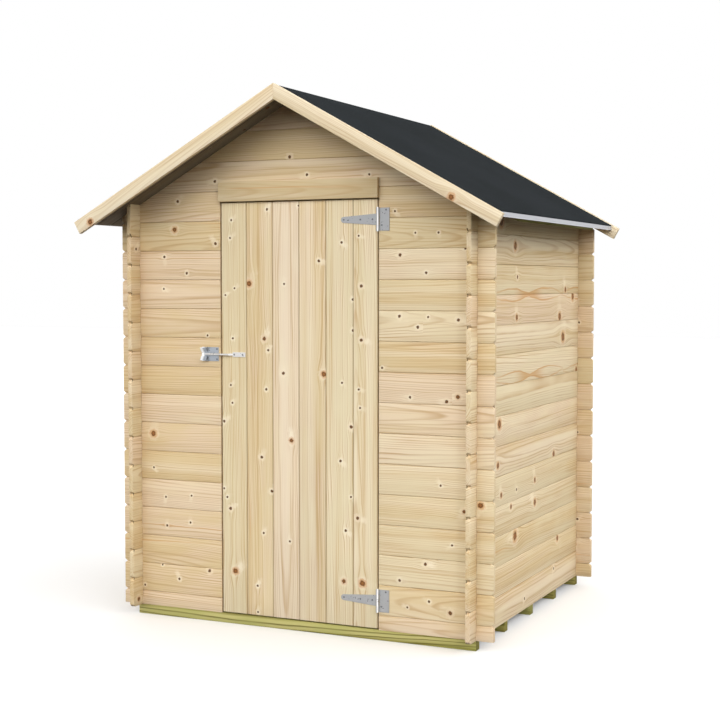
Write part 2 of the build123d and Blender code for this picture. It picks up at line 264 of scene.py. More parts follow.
# where each share starts and stops changing, and the share before and after: sizes, gaps and lens edges in
# metres, distances from a knot in knot sizes, distances along a lens in lens lengths
woodFades = {
    "bendAlong": (0.0, 9.0, 1.0, 0.0), "bendAside": (0.0, 5.0, 1.0, 0.0),
    "bendBySize": (0.0, 0.006, 0.0, 0.9), "ringIn": (0.5, 0.85), "ringOut": (0.86, 1.0, 1.0, 0.0),
    "deep": (0.0, 1.0),
    "rosy": (0.45, 1.0, 0.0, 0.8), "lime": (0.0, 0.5, 0.6, 0.0), "thread": (0.48, 0.7),
    "threadByBand": (0.4, 0.62, 0.1), "vein": (0.68, 0.78, 0.0, 0.5), "veinByLight": (0.4, 0.9, 0.1, 1.0),
    "gapAcross": (0.0545, 0.0565), "gapDeep": (0.0025, 0.0045, 0.9, 0.0),
    "lensEdge": (0.0, 0.0055, 0.8, 0.0), "edgeAlong": (0.4, 1.1, 1.0, 0.3),
    "lensFill": (-0.003, 0.001, 0.65, 0.0), "fillAlong": (0.1, 0.5, 1.0, 0.0), "hasLens": (0.0, 0.001),
    "tailStart": (0.0, 1.5), "tailEnd": (3.0, 8.0, 1.0, 0.0), "tailWide": (0.6, 2.6, 1.0, 0.0),
    "tailByBlotch": (0.35, 0.65, 0.15, 0.75), "halo": (1.2, 3.2, 0.75, 0.0),
    "warm": (1.0, 2.3, 0.75, 0.0), "warmBySize": (0.0055, 0.0095), "core": (0.75, 1.15, 0.95, 0.0),
    "coreRim": (0.3, 0.95), "coreBySize": (0.006, 0.01),
}
coreColours = {"small": (96, 60, 28), "large": (148, 96, 54), "rim": (80, 48, 22)}
lens = {"halfWidth": 0.022, "least": 0.001, "wave": 3.0}
tongueGap = {"deep": 0.0085, "colour": (62, 45, 28)}
woodMake = {"leastSize": 0.0001, "ringPatches": 0.35, "ringsUneven": 2.5, "linesVary": 1.2, "lean": 9.0,
            "tearBeside": 0.5, "specular": 0.12, "roughVaries": 0.2, "raisedRings": 0.5, "sunkKnots": -0.8,
            "relief": 0.0003, "reliefShare": 0.6}


def pattern(tree, name, vector, shift=None):
    patches, detail, roughness = woodPatterns[name]
    return speckle(tree, stretch(tree, vector, patches, shift), 1.0, detail, roughness)


def boardData(tree):
    # what dressBoard wrote on the piece, with whole 1 where it isn't sawn
    data = {name: pieceData(tree, name).outputs["Vector"] for name in ("grain", "tone")}
    data["along"], data["across"], data["deep"] = parts3(tree, data["grain"])
    data["light"], data["hue"], data["heart"] = parts3(tree, data["tone"])
    data["sawn"] = pieceData(tree, "sawn").outputs["Fac"]
    data["joint"] = pieceData(tree, "joint").outputs["Fac"]
    data["whole"] = calc(tree, "SUBTRACT", 1.0, data["sawn"])
    return data


def knotData(tree, board):
    # how far away the knot is, in knot sizes and, in all, with an uneven rim
    away, aside, size = parts3(tree, pieceData(tree, "knot").outputs["Vector"])
    unit = calc(tree, "MAXIMUM", size, woodMake["leastSize"])
    away, aside = calc(tree, "DIVIDE", away, unit), calc(tree, "DIVIDE", aside, unit)
    rim = around(tree, pattern(tree, "rim", board["grain"]), *woodSwings["rim"])
    far = times(tree, reach(tree, away, aside), rim)
    return {"away": away, "aside": aside, "size": size, "unit": unit, "far": far}


def bentLine(tree, board, knot, ripple):
    # the place across the board, moved so that grain lines run round the knot and wander a little
    bend = times(tree, fade(tree, unsigned(tree, knot["away"]), *woodFades["bendAlong"]),
                 fade(tree, unsigned(tree, knot["aside"]), *woodFades["bendAside"]))
    bend = times(tree, bend, fade(tree, knot["size"], *woodFades["bendBySize"]))
    line = timesPlus(tree, times(tree, knot["aside"], bend), times(tree, knot["unit"], -1.0), board["across"])
    line = plus(tree, line, around(tree, pattern(tree, "wander", board["grain"]), *woodSwings["wander"]))
    return plus(tree, line, around(tree, ripple, *woodSwings["ripple"]))


def lateWood(tree, board, line, ring):
    # rings round the tree's heart, which lies beside most boards and changes its depth slowly
    centred = plus(tree, line, around(tree, board["heart"], *woodSwings["heartAside"]))
    heartDepth = around(tree, pattern(tree, "heart", board["grain"], board["tone"]), *woodSwings["heartDeep"])
    heartDepth = plus(tree, heartDepth, around(tree, board["hue"], *woodSwings["heartByHue"]))
    ringAt = calc(tree, "DIVIDE", reach(tree, centred, plus(tree, board["deep"], heartDepth)), ring)
    uneven = speckle(tree, joined3(tree, ringAt, board["hue"], 0.0), woodMake["ringPatches"], 0.0)
    turn = calc(tree, "FRACT", timesPlus(tree, uneven, woodMake["ringsUneven"], ringAt))
    return times(tree, fade(tree, turn, *woodFades["ringIn"]), fade(tree, turn, *woodFades["ringOut"]))


def resinLens(tree, ripple):
    # warm lines that open into a lens along the grain on both sides of a middle
    drawn, wide, length = parts3(tree, pieceData(tree, "resinMark").outputs["Vector"])
    out = calc(tree, "DIVIDE", unsigned(tree, drawn), calc(tree, "MAXIMUM", length, woodMake["leastSize"]))
    wave = calc(tree, "SINE", times(tree, out, lens["wave"]))
    wide = unsigned(tree, plus(tree, wide, around(tree, ripple, *woodSwings["lens"])))
    inside = calc(tree, "SUBTRACT", wide, timesPlus(tree, wave, lens["halfWidth"], lens["least"]))
    edge = times(tree, fade(tree, unsigned(tree, inside), *woodFades["lensEdge"]),
                 fade(tree, out, *woodFades["edgeAlong"]))
    fill = times(tree, fade(tree, inside, *woodFades["lensFill"]), fade(tree, out, *woodFades["fillAlong"]))
    return times(tree, calc(tree, "MAXIMUM", edge, fill), fade(tree, length, *woodFades["hasLens"]))


def knotEye(tree, board, knot, blotch):
    # paler wood in a ring round the knot and a torn tail beside it, which leans as the branch did
    lean = times(tree, plus(tree, board["hue"], board["heart"]), woodMake["lean"])
    cosine, sine = calc(tree, "COSINE", lean), calc(tree, "SINE", lean)
    tear = around(tree, pattern(tree, "torn", board["grain"]), *woodSwings["tear"])
    ahead = plus(tree, times(tree, knot["away"], cosine), times(tree, knot["aside"], sine))
    ahead = plus(tree, ahead, tear)
    beside = calc(tree, "SUBTRACT", times(tree, knot["away"], sine), times(tree, knot["aside"], cosine))
    beside = plus(tree, unsigned(tree, beside), times(tree, tear, woodMake["tearBeside"]))
    tail = times(tree, fade(tree, ahead, *woodFades["tailStart"]), fade(tree, ahead, *woodFades["tailEnd"]))
    tail = times(tree, tail, fade(tree, beside, *woodFades["tailWide"]))
    tail = times(tree, tail, fade(tree, blotch, *woodFades["tailByBlotch"]))
    return calc(tree, "MAXIMUM", tail, fade(tree, knot["far"], *woodFades["halo"]))


def spruce(name, look):
    material, tree, shader = freshMaterial(name)
    colours = {key: paint(*value) for key, value in look.items() if isinstance(value, tuple)}
    board = boardData(tree)
    knot = knotData(tree, board)
    ripple, blotch = pattern(tree, "ripple", board["grain"]), pattern(tree, "blotch", board["grain"])
    line = bentLine(tree, board, knot, ripple)
    late = lateWood(tree, board, line, look["ring"])
    flow = joined3(tree, board["along"], line, board["deep"])
    fibres = pattern(tree, "fibres", flow)
    bands, threads, veins = (pattern(tree, kind, flow, board["tone"])
                             for kind in ("bands", "threads", "veins"))

    # clear wood: broad tones, then the lines of rings, threads and veins, then sawn ends, then the grooves
    # drawn darker, partly dirt and partly painted shade
    depth = plus(tree, around(tree, bands, *woodSwings["bands"]),
                 around(tree, board["light"], *woodSwings["light"]))
    leaning = plus(tree, board["hue"], around(tree, blotch, *woodSwings["blotch"]))
    lines = times(tree, late, around(tree, blotch, look["lines"], woodMake["linesVary"]))
    thread = times(tree, fade(tree, threads, *woodFades["thread"]),
                   fade(tree, bands, *woodFades["threadByBand"], look["streaks"]))
    vein = times(tree, fade(tree, veins, *woodFades["vein"]),
                 fade(tree, board["light"], *woodFades["veinByLight"]))
    # the gap beside the tongue shows on sawn ends, at the joint and near the inner side
    fromTongue = unsigned(tree, plus(tree, board["deep"], tongueGap["deep"]))
    gap = times(tree, fade(tree, unsigned(tree, board["across"]), *woodFades["gapAcross"]),
                fade(tree, fromTongue, *woodFades["gapDeep"]))
    colour = layered(tree, colours["pale"], (
        (fade(tree, depth, *woodFades["deep"]), colours["deep"]),
        (fade(tree, leaning, *woodFades["rosy"]), colours["rosy"]),
        (fade(tree, leaning, *woodFades["lime"]), colours["lime"]),
        (lines, colours["late"]),
        (thread, colours["late"]),
        (vein, colours["resin"]),
        (times(tree, board["sawn"], look["ends"]), colours["late"]),
        # the grooves between boards drawn darker: partly dirt, partly painted shade
        (times(tree, board["joint"], look["grooveDirtAndShadeShare"]), colours["gap"]),
        (times(tree, gap, board["sawn"]), paint(*tongueGap["colour"]))))
    colour = tinted(tree, colour, around(tree, fibres, *woodSwings["fibres"]))

    # resin and knots, which stop at sawn ends
    eye = times(tree, knotEye(tree, board, knot, blotch), look["eye"])
    warm = times(tree, fade(tree, knot["far"], *woodFades["warm"]),
                 fade(tree, knot["size"], *woodFades["warmBySize"]))
    core = times(tree, fade(tree, knot["far"], *woodFades["core"]), board["whole"])
    heartwood = blendPaint(tree, fade(tree, knot["size"], *woodFades["coreBySize"]),
                           paint(*coreColours["small"]), paint(*coreColours["large"]))
    heartwood = blendPaint(tree, fade(tree, knot["far"], *woodFades["coreRim"]), heartwood,
                           paint(*coreColours["rim"]))
    colour = layered(tree, colour, (
        (times(tree, resinLens(tree, ripple), board["whole"]), colours["resin"]),
        (times(tree, eye, board["whole"]), colours["halo"]),
        (times(tree, warm, board["whole"]), colours["resin"]),
        (core, heartwood)))

    tree.links.new(colour, shader.inputs["Base Color"])
    shader.inputs["Specular IOR Level"].default_value = woodMake["specular"]
    plug(tree, around(tree, fibres, look["rough"], woodMake["roughVaries"]), shader.inputs["Roughness"])
    sunk = plus(tree, fibres, times(tree, core, woodMake["sunkKnots"]))
    height = plus(tree, times(tree, late, woodMake["raisedRings"]), sunk)
    relief(tree, shader, height, woodMake["relief"], woodMake["reliefShare"])
    return material


# felt: two close greys in broad clouds, with grit; patches in a metre, relief in metres
feltLook = {"darker": (33, 37, 39), "lighter": (37, 41, 44), "cloudPatches": 3.0, "clouds": (0.3, 0.7),
            "gritPatches": 1500.0, "gritVaries": 0.5, "relief": 0.0006, "specular": 0.03}


def felt():
    material, tree, shader = freshMaterial("felt")
    spot = tree.nodes.new("ShaderNodeTexCoord").outputs["Object"]
    grit = speckle(tree, spot, feltLook["gritPatches"], 2.0, 0.7)
    cloud = speckle(tree, spot, feltLook["cloudPatches"], 3.0)
    colour = blendPaint(tree, fade(tree, cloud, *feltLook["clouds"]), paint(*feltLook["darker"]),
                        paint(*feltLook["lighter"]))
    colour = tinted(tree, colour, around(tree, grit, 1.0, feltLook["gritVaries"]))
    tree.links.new(colour, shader.inputs["Base Color"])
    shader.inputs["Roughness"].default_value = 1.0
    shader.inputs["Specular IOR Level"].default_value = feltLook["specular"]
    relief(tree, shader, grit, feltLook["relief"])
    return material


# sheet metal: an optional painted highlight, a near-white stripe given by where in x it lies and how far it
# reaches to each side; all in metres
metalMake = {"cloudPatches": 60.0, "brushed": (40.0, 400.0, 900.0), "roughVaries": 0.25, "smoother": 0.12,
             # the near-white colour of the painted highlight stripe, its strongest share, and the share of
             # its reach held at full strength
             "paintedGlint": (246, 246, 246), "paintedGlintShare": 0.95, "paintedGlintCore": 0.4,
             "relief": 0.00005, "reliefShare": 0.4}


def sheetMetal(name, colour, metallic, roughness, cloudiness=0.12, paintedGlintBand=None):
    material, tree, shader = freshMaterial(name)
    spot = tree.nodes.new("ShaderNodeTexCoord").outputs["Object"]
    cloud = speckle(tree, spot, metalMake["cloudPatches"], 4.0, 0.6)
    brushed = speckle(tree, stretch(tree, spot, metalMake["brushed"]), 1.0, 2.0)
    shown = tinted(tree, paint(*colour), around(tree, cloud, 1.0, cloudiness))
    # painted highlight: a near-white stripe across x that stands in for a glint of light
    if paintedGlintBand:
        middle, reachOut = paintedGlintBand
        off = unsigned(tree, calc(tree, "SUBTRACT", parts3(tree, spot)[0], middle))
        paintedGlint = fade(tree, off, reachOut * metalMake["paintedGlintCore"], reachOut, metalMake["paintedGlintShare"], 0.0)
        shown = blendPaint(tree, paintedGlint, shown, paint(*metalMake["paintedGlint"]))
    tree.links.new(shown, shader.inputs["Base Color"])
    shader.inputs["Metallic"].default_value = metallic
    rough = timesPlus(tree, cloud, metalMake["roughVaries"], roughness - metalMake["smoother"])
    plug(tree, rough, shader.inputs["Roughness"])
    relief(tree, shader, brushed, metalMake["relief"], metalMake["reliefShare"])
    return material


# choosing objects and working on one in edit mode
def pick(*pieces):
    bpy.ops.object.select_all(action="DESELECT")
    for piece in pieces:
        piece.select_set(True)
    bpy.context.view_layer.objects.active = pieces[0]


def openEdit(piece):
    pick(piece)
    bpy.ops.object.mode_set(mode="EDIT")
    bpy.ops.mesh.select_all(action="SELECT")


def closeEdit():
    bpy.ops.object.mode_set(mode="OBJECT")


def twin(piece, name):
    other = bpy.data.objects.new(name, piece.data.copy())
    bpy.context.collection.objects.link(other)
    return other


def applyModifier(piece, kind, **settings):
    modifier = piece.modifiers.new(kind.title(), kind)
    for key, value in settings.items():
        setattr(modifier, key, value)
    pick(piece)
    bpy.ops.object.modifier_apply(modifier=modifier.name)


def joinPieces(pieces, name):
    pick(*pieces)
    if len(pieces) > 1:
        bpy.ops.object.join()
    pieces[0].name = name
    pieces[0].data.name = name
    return pieces[0]


def spread(piece, way):
    places = [v.co.dot(way) for v in piece.data.vertices]
    return min(places), max(places)


# boards: how they are sawn from a CAD node and rounded, in metres and degrees
sawing = {"weld": 0.00002, "flat": 0.5, "gap": 0.00015, "leastBoard": 0.004, "beyond": 1.0, "smooth": 40.0,
          "arris": 0.0008, "arrisAngle": 25.0, "endFaces": 0.5, "edgeFaces": 0.2, "grainShift": 40.0}
# random knots, in metres: how far in the first lies, the steps to the next, their sizes, how far from the end
# they stop, what share of the half width they keep to, and how many sizes neighbours are apart; a mark
# larger than the largest is a resin mark, whose size is its length
knotHabit = {"first": (0.02, 0.2), "steps": (0.07, 0.55), "sizes": (0.0034, 0.0042, 0.0052, 0.0065, 0.0085),
             "fromEnd": 0.02, "aside": 0.8, "apart": 2.6, "largest": 0.05}


def stockOf(nodeName):
    # the CAD node's shape as clean faces, ready for the saw
    stock = twin(frame["nodes"][nodeName], nodeName + "Stock")
    stock.data.materials.clear()
    openEdit(stock)
    bpy.ops.mesh.remove_doubles(threshold=sawing["weld"])
    bpy.ops.mesh.dissolve_limited(angle_limit=math.radians(sawing["flat"]))
    closeEdit()
    bpy.ops.mesh.customdata_custom_splitnormals_clear()
    for face in stock.data.polygons:
        face.use_smooth = False
    return stock


def randomKnots(dice, start, end, halfWidth, often):
    knots = []
    at = start + dice.uniform(*knotHabit["first"])
    while at < end - knotHabit["fromEnd"]:
        size = dice.choice(knotHabit["sizes"])
        knots.append((at, dice.uniform(-knotHabit["aside"], knotHabit["aside"]) * halfWidth, size))
        at += dice.uniform(*knotHabit["steps"]) / often
    return knots


def sortMarks(marks):
    # the knots that don't crowd the one before, and the resin marks, each in order along the board
    kept = []
    for knot in sorted(mark for mark in marks if mark[2] <= knotHabit["largest"]):
        if not kept or knot[0] - kept[-1][0] > knotHabit["apart"] * (knot[2] + kept[-1][2]):
            kept.append(knot)
    return kept, sorted(mark for mark in marks if mark[2] > knotHabit["largest"])


def markAt(marks, cuts, at):
    # the mark whose stretch of the board this is, or one of no size
    return marks[sum(1 for cut in cuts if cut < at)] if marks else (0, 0, 0)


def dressBoard(board, along, across, marks, seed, often, tone=None, darker=0.0):
    # rounds the arrises, cuts the faces between marks and writes the grain on them
    dice = random.Random(seed)
    deepWay = along.cross(across)
    applyModifier(board, "BEVEL", width=sawing["arris"], segments=2, limit_method="ANGLE",
                  angle_limit=math.radians(sawing["arrisAngle"]))
    start, end = spread(board, along)
    low, high = spread(board, across)
    near, far = spread(board, deepWay)
    middle, core = (low + high) / 2, (near + far) / 2
    if marks is None:
        marks = [(u, v + middle, r) for u, v, r in randomKnots(dice, start, end, (high - low) / 2, often)]
    knots, resinMarks = sortMarks(marks)
    cuts = [(a[0] + a[2] + b[0] - b[2]) / 2 for a, b in zip(knots, knots[1:])]
    resinCuts = [(a[0] + b[0]) / 2 for a, b in zip(resinMarks, resinMarks[1:])]
    openEdit(board)
    for cut in cuts + resinCuts:
        bpy.ops.mesh.select_all(action="SELECT")
        bpy.ops.mesh.bisect(plane_co=along * cut, plane_no=along)
    closeEdit()
    drawn = (dice.random() + darker, dice.random(), dice.random())
    tone = tone or drawn
    shift = dice.uniform(0, sawing["grainShift"])
    mesh = board.data
    written = {"grain": [], "knot": [], "resinMark": [], "tone": [], "sawn": [], "joint": []}
    for face in mesh.polygons:
        at = face.center.dot(along)
        knot, resinMark = markAt(knots, cuts, at), markAt(resinMarks, resinCuts, at)
        isEnd = abs(face.normal.dot(along)) > sawing["endFaces"]
        isEdge = not isEnd and abs(face.normal.dot(across)) > sawing["edgeFaces"]
        for corner in face.vertices:
            place = mesh.vertices[corner].co
            u, v = place.dot(along), place.dot(across)
            written["grain"] += [u + shift, v - middle, place.dot(deepWay) - core]
            written["knot"] += [u - knot[0], v - knot[1], knot[2]]
            written["resinMark"] += [u - resinMark[0], v - resinMark[1], resinMark[2]]
            written["tone"] += tone
            written["sawn"].append(float(isEnd))
            # edge and chamfer faces, which the wood darkens, partly as dirt and partly as painted shade
            written["joint"].append(float(isEdge))
    for name, values in written.items():
        kind, field = ("FLOAT", "value") if name in ("sawn", "joint") else ("FLOAT_VECTOR", "vector")
        mesh.attributes.new(name, kind, "CORNER").data.foreach_set(field, values)
    return board


def boardsOf(nodeName, body, slotName, along, across, seams=(), marks=None, often=1.0, tone=None, darker=0.0):
    # saws a CAD node into its boards and dresses each; marks are (along, across, size) in metres
    along, across = along.normalized(), across.normalized()
    stock = stockOf(nodeName)
    low, high = spread(stock, across)
    least, beyond = sawing["leastBoard"], sawing["beyond"]
    edges = [low - beyond] + [s for s in seams if low + least < s < high - least] + [high + beyond]
    boards = []
    for number, (a, b) in enumerate(zip(edges, edges[1:])):
        board = twin(stock, f"{nodeName}Board{number}")
        openEdit(board)
        for place, way in ((b - sawing["gap"], 1), (a + sawing["gap"], -1)):
            if low < place < high:
                bpy.ops.mesh.select_all(action="SELECT")
                bpy.ops.mesh.bisect(plane_co=across * place, plane_no=across * way, use_fill=True,
                                    clear_outer=True)
        closeEdit()
        mine = None if marks is None else [m for m in marks if max(a, low) < m[1] < min(b, high)]
        boards.append(dressBoard(board, along, across, mine, f"{nodeName}{number}", often, tone, darker))
    bpy.data.objects.remove(stock)
    piece = joinPieces(boards, nodeName + "_boards")
    bpy.ops.object.shade_smooth_by_angle(angle=math.radians(sawing["smooth"]))
    piece.data.materials.clear()
    piece.data.materials.append(woodFinish[slotName])
    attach(piece, body)
    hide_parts(nodeName)
    return piece


# knots that show on the front, the door and the right side: mm along the wall (across it for the door's
# upright boards), mm above the wall foot, and radius in mm
frontKnots = [
    (781, 523, 9), (-562, 67, 7.7), (-735, 83, 4.2), (659, 97, 6.6), (-406, 99, 5.3), (479, 103, 3.8),
    (-563, 123, 5), (571, 134, 4.6), (-415, 170, 6.1), (-646, 177, 3.8), (446, 206, 5.3), (562, 226, 4.2),
    (446, 244, 4.2), (555, 279, 5.9), (-622, 346, 4.6), (665, 361, 4.2), (-507, 366, 4.6), (-622, 385, 4.2),
    (-627, 467, 4.2), (-501, 480, 3.8), (715, 494, 6.6), (-686, 589, 3.8), (618, 589, 4.2),
    (-687, 733, 9.7), (641, 914, 5.9), (489, 926, 5), (687, 933, 6.8), (718, 963, 3.8), (715, 1017, 4.2),
    (371, 1037, 4.2), (-419, 1151, 3.8), (521, 1197, 5.3), (531, 1213, 6.1), (716, 1219, 3.8),
    (457, 1220, 4.2), (688, 1227, 5.6), (575, 1231, 3.8), (564, 1237, 4.2), (444, 1239, 5.6),
    (-630, 1343, 4.2), (555, 1407, 5), (-517, 1408, 5), (-626, 1476, 5), (446, 1476, 5.9),
    (-511, 1496, 4.2), (562, 1498, 4.6), (715, 1499, 4.6), (-379, 1529, 5.6), (510, 1560, 3.8),
    (606, 1560, 3.8), (-575, 1589, 7.9), (-558, 1641, 7.3), (424, 1645, 4.2), (-559, 1705, 5.6),
    (-368, 1751, 7.1), (-380, 1783, 5.6), (315, 1790, 4.6), (43, 1797, 5), (-34, 1870, 6.1),
]
doorKnots = [
    (-343, 520, 4.2), (-341, 799, 5.3), (-333, 1318, 3.8), (-328, 485, 4.2), (-326, 537, 7.1),
    (-313, 439, 5.9), (-310, 1551, 4.2), (-309, 949, 4.2), (-304, 1624, 4.2), (-302, 876, 4.2),
    (-300, 1359, 4.6), (-299, 1141, 4.6), (-291, 180, 8.9), (-290, 1346, 3.8), (-222, 1365, 8.9),
    (-187, 128, 4.6), (-186, 19, 4.2), (-166, 659, 5.6), (-158, 348, 4.2), (-152, 1142, 6.6),
    (-144, 937, 5), (-138, 1664, 4.6), (-134, 1096, 5), (-120, 522, 5.6), (-66, 750, 5.3), (-65, 1004, 5.9),
    (-61, 1364, 4.2), (-51, 767, 5.9), (-38, 323, 4.6), (-29, 733, 7.3), (5, 1676, 3.8), (95, 1455, 5.3),
    (117, 1005, 8.4), (166, 1196, 4.2), (167, 1304, 4.2), (190, 662, 5), (196, 1527, 4.6), (197, 973, 4.2),
    (205, 181, 7.1), (213, 385, 5), (236, 521, 4.2), (237, 799, 5.9), (244, 1203, 6.1), (245, 182, 8.1),
    (245, 1303, 5), (246, 1181, 5), (246, 1318, 4.6), (265, 439, 6.1), (270, 949, 4.2), (270, 1552, 3.8),
    (276, 876, 4.2), (281, 1144, 5.9), (281, 1356, 5.9), (286, 180, 9.7),
]
sideKnots = [
    (584, 46, 3.3), (991, 99, 3.3), (1043, 227, 6), (454, 332, 9.1), (714, 435, 6.2), (402, 460, 4.4),
    (304, 496, 3.7), (471, 521, 3.3), (282, 523, 4.7), (713, 531, 4.7), (979, 613, 6), (240, 647, 5.5),
    (256, 809, 8.2), (190, 879, 4.1), (1319, 967, 5.5), (1105, 1126, 9.5), (1053, 1219, 8.2),
    (462, 1228, 5.5), (1253, 1307, 7.8), (1138, 1337, 5.3), (468, 1392, 3.7), (439, 1518, 7.6),
    (266, 1611, 10.2),
]
# where resin marks meet between two lenses, and how long a lens is
sideResin = [
    (620, 1317, 438), (1540, 1317, 438), (620, 1323, 438), (1540, 1323, 438), (640, 984, 448),
    (1580, 972, 448),
]
# how much larger knots are drawn than measured, and how much deeper in colour some walls are
swell = {"front": 1.15, "door": 1.15, "side": 2.0}
darkerWalls = {"front_wall_left": 0.45, "front_wall_right": 0.0, "front_gable": 0.1, "back_wall": 0.5}


def metres(rows, shift=0.0, larger=1.0):
    return [(a / 1000 + shift, b / 1000 + shed["foot"], r / 1000 * larger) for a, b, r in rows]


def seamsBackwards(nodeName, pitch, boards):
    # seams between boards laid one behind the other from a node's front edge
    return [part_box(nodeName)[0].y + pitch * n for n in range(1, boards)]


woodFinish = {name: spruce(name, look) for name, look in woods.items()}
frontSeams = [shed["foot"] + shed["board"] * (n + 0.5) for n in range(18)]
sideSeams = [shed["foot"] + shed["board"] * n for n in range(1, 14)]
frontSet = metres(frontKnots, 0.0, swell["front"])
for name in ("front_wall_left", "front_wall_right", "front_gable"):
    low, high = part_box(name)
    mine = [knot for knot in frontSet if low.x < knot[0] < high.x]
    boardsOf(name, "shed", "wall_wood", right, up, frontSeams, mine, darker=darkerWalls[name])
boardsOf("back_wall", "shed", "wall_wood", -right, up, frontSeams, darker=darkerWalls["back_wall"])
boardsOf("right_wall", "shed", "wall_wood", back, up, sideSeams,
         metres(sideKnots, shed["frontY"], swell["side"]) + metres(sideResin, shed["frontY"]))
boardsOf("left_wall", "shed", "wall_wood", -back, up, sideSeams)
print("walls sawn and dressed")

# door boards, from the latch side: how deep in colour, how rosy and where the heart lies
doorTones = ((0.45, 0.1, 0.7), (0.75, 0.55, 0.9), (0.1, 0.9, 0.5), (0.5, 0.6, 0.3), (0.35, 0.15, 0.8),
             (0.2, 0.3, 0.6))
doorSet = [(z, x, r) for x, z, r in metres(doorKnots, 0.0, swell["door"])]
for number, tone in enumerate(doorTones, 1):
    boardsOf(f"door_board_{number}", "door", "door_wood", up, right, (), doorSet, tone=tone)
for level in ("lower", "upper"):
    boardsOf(f"door_ledge_{level}", "door", "frame_wood", right, up)
# the brace leans from its box's low right corner to the high left one, less its own width
braceWidth = 0.1
low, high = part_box("door_brace")
slant = Vector((low.x - high.x, 0, high.z - low.z)) + right * braceWidth
boardsOf("door_brace", "door", "frame_wood", slant, slant.cross(back))
print("door dressed")

# the same three shares for the lintel and the bargeboards
trimTones = {"door_lintel": (0.9, 0.5, 0.5),
             "front_bargeboard_left": (0.1, 0.5, 0.4), "front_bargeboard_right": (0.1, 0.5, 0.8),
             "back_bargeboard_left": (0.15, 0.45, 0.7), "back_bargeboard_right": (0.15, 0.45, 0.3)}
boardsOf("door_lintel", "shed", "trim_wood", right, up, (), [], tone=trimTones["door_lintel"])
for side in ("left", "right"):
    boardsOf(f"door_post_{side}", "shed", "frame_wood", up, right)
boardsOf("door_head", "shed", "frame_wood", right, up)

# one knot on each front bargeboard, in metres, and how often knots come in the roof boards
bargeKnots = {"left": (-0.855, 0, 1.658), "right": (0.735, 0, 1.720), "size": 0.0105}
roofKnotsOften = 0.7
angle = math.radians(shed["roofAngle"])
deckSeams = seamsBackwards("roof_deck_left", shed["deckBoard"], 17)
for side, way in (("left", -1), ("right", 1)):
    downSlope = Vector((way * math.cos(angle), 0, -math.sin(angle)))
    square = downSlope.cross(back)
    # the roof boards take the darker wood that paints shade on the roof's underside
    boardsOf(f"roof_deck_{side}", "shed", "deck_wood", downSlope, back, deckSeams, often=roofKnotsOften)
    knot = Vector(bargeKnots[side])
    shown = {"front": [(knot.dot(downSlope), knot.dot(square), bargeKnots["size"])], "back": []}
    for end, mine in shown.items():
        name = f"{end}_bargeboard_{side}"
        boardsOf(name, "shed", "trim_wood", downSlope, square, (), mine, tone=trimTones[name])
    boardsOf(f"eave_batten_{side}", "shed", "green_batten", back, downSlope, (), [])
boardsOf("ridge_purlin", "shed", "frame_wood", back, up)
floorSeams = seamsBackwards("floor_boards", shed["floorBoard"], 14)
boardsOf("floor_boards", "shed", "floor_wood", right, back, floorSeams)
for number in range(1, 6):
    boardsOf(f"bearer_{number}", "shed", "bearer_timber", right, up, (), [])
print("roof, floor and bearers dressed")

# felt and metal keep their CAD shapes
metalLooks = {
    # the zinc's bright stripe down the hinge knuckles is a painted highlight
    "zinc": {"colour": (164, 165, 167), "metallic": 0.6, "roughness": 0.3, "paintedGlintBand": (0.3565, 0.004)},
    "dripMetal": {"colour": (184, 185, 190), "metallic": 0.3, "roughness": 0.4, "cloudiness": 0.05},
    # the catch's bright stripe near its left edge is a painted highlight
    "catchZinc": {"colour": (160, 166, 174), "metallic": 0.6, "roughness": 0.3, "cloudiness": 0.1,
                  "paintedGlintBand": (-0.444, 0.016)},
    # the striker's zinc is drawn brighter all over than the rest: painted highlight for the lit top of the
    # rod
    "strikerZincPaintedBright": {"colour": (212, 210, 208), "metallic": 0.6, "roughness": 0.3, "cloudiness": 0.06},
    # the screws' steel is drawn dark: partly their own colour, partly painted shade of the recesses round
    # their heads
    "screwSteelAndShade": {"colour": (92, 93, 97), "metallic": 0.6, "roughness": 0.4},
}
metals = {name: sheetMetal(name, **look) for name, look in metalLooks.items()}
slotFinish = {"felt": felt(), "zinc": metals["zinc"], "drip_metal": metals["dripMetal"]}
latchFinish = {"latch_catch": metals["catchZinc"], "latch_striker": metals["strikerZincPaintedBright"]}
slotOf = {row["node"]: row["material_slot"] for row in frame["record"]["subparts"]}
for name, node in frame["nodes"].items():
    if slotOf.get(name) in slotFinish:
        node.data.materials.clear()
        node.data.materials.append(latchFinish.get(name, slotFinish[slotOf[name]]))

# screws, each with a domed head and a cross cut, in metres and degrees
screw = {"radius": 0.0036, "height": 0.0014, "sides": 20, "dome": 0.0008, "domeAngle": 40.0, "smooth": 35.0,
         "crossLong": 0.0042, "crossWide": 0.0009, "crossDeep": 0.0009}


def screwHead(name, place, turn):
    # made flat on the ground plane looking up, then turned to look out of the front
    bpy.ops.object.select_all(action="DESELECT")
    bpy.ops.mesh.primitive_cylinder_add(vertices=screw["sides"], radius=screw["radius"],
                                        depth=screw["height"], location=(0, 0, screw["height"] / 2))
    head = bpy.context.object
    head.name = name
    applyModifier(head, "BEVEL", width=screw["dome"], segments=3, limit_method="ANGLE",
                  angle_limit=math.radians(screw["domeAngle"]))
    bars = []
    for quarter in (0, 1):
        bpy.ops.mesh.primitive_cube_add(
            size=1, location=(0, 0, screw["height"]), rotation=(0, 0, math.pi / 2 * quarter + turn),
            scale=(screw["crossLong"], screw["crossWide"], screw["crossDeep"] * 2))
        bars.append(bpy.context.object)
    for bar in bars:
        applyModifier(head, "BOOLEAN", operation="DIFFERENCE", object=bar, solver="EXACT")
        bpy.data.objects.remove(bar)
    pick(head)
    head.rotation_euler = (math.pi / 2, 0, 0)
    head.location = place
    bpy.ops.object.transform_apply(location=True, rotation=True, scale=True)
    bpy.ops.object.shade_smooth_by_angle(angle=math.radians(screw["smooth"]))
    head.data.materials.append(metals["screwSteelAndShade"])
    return head


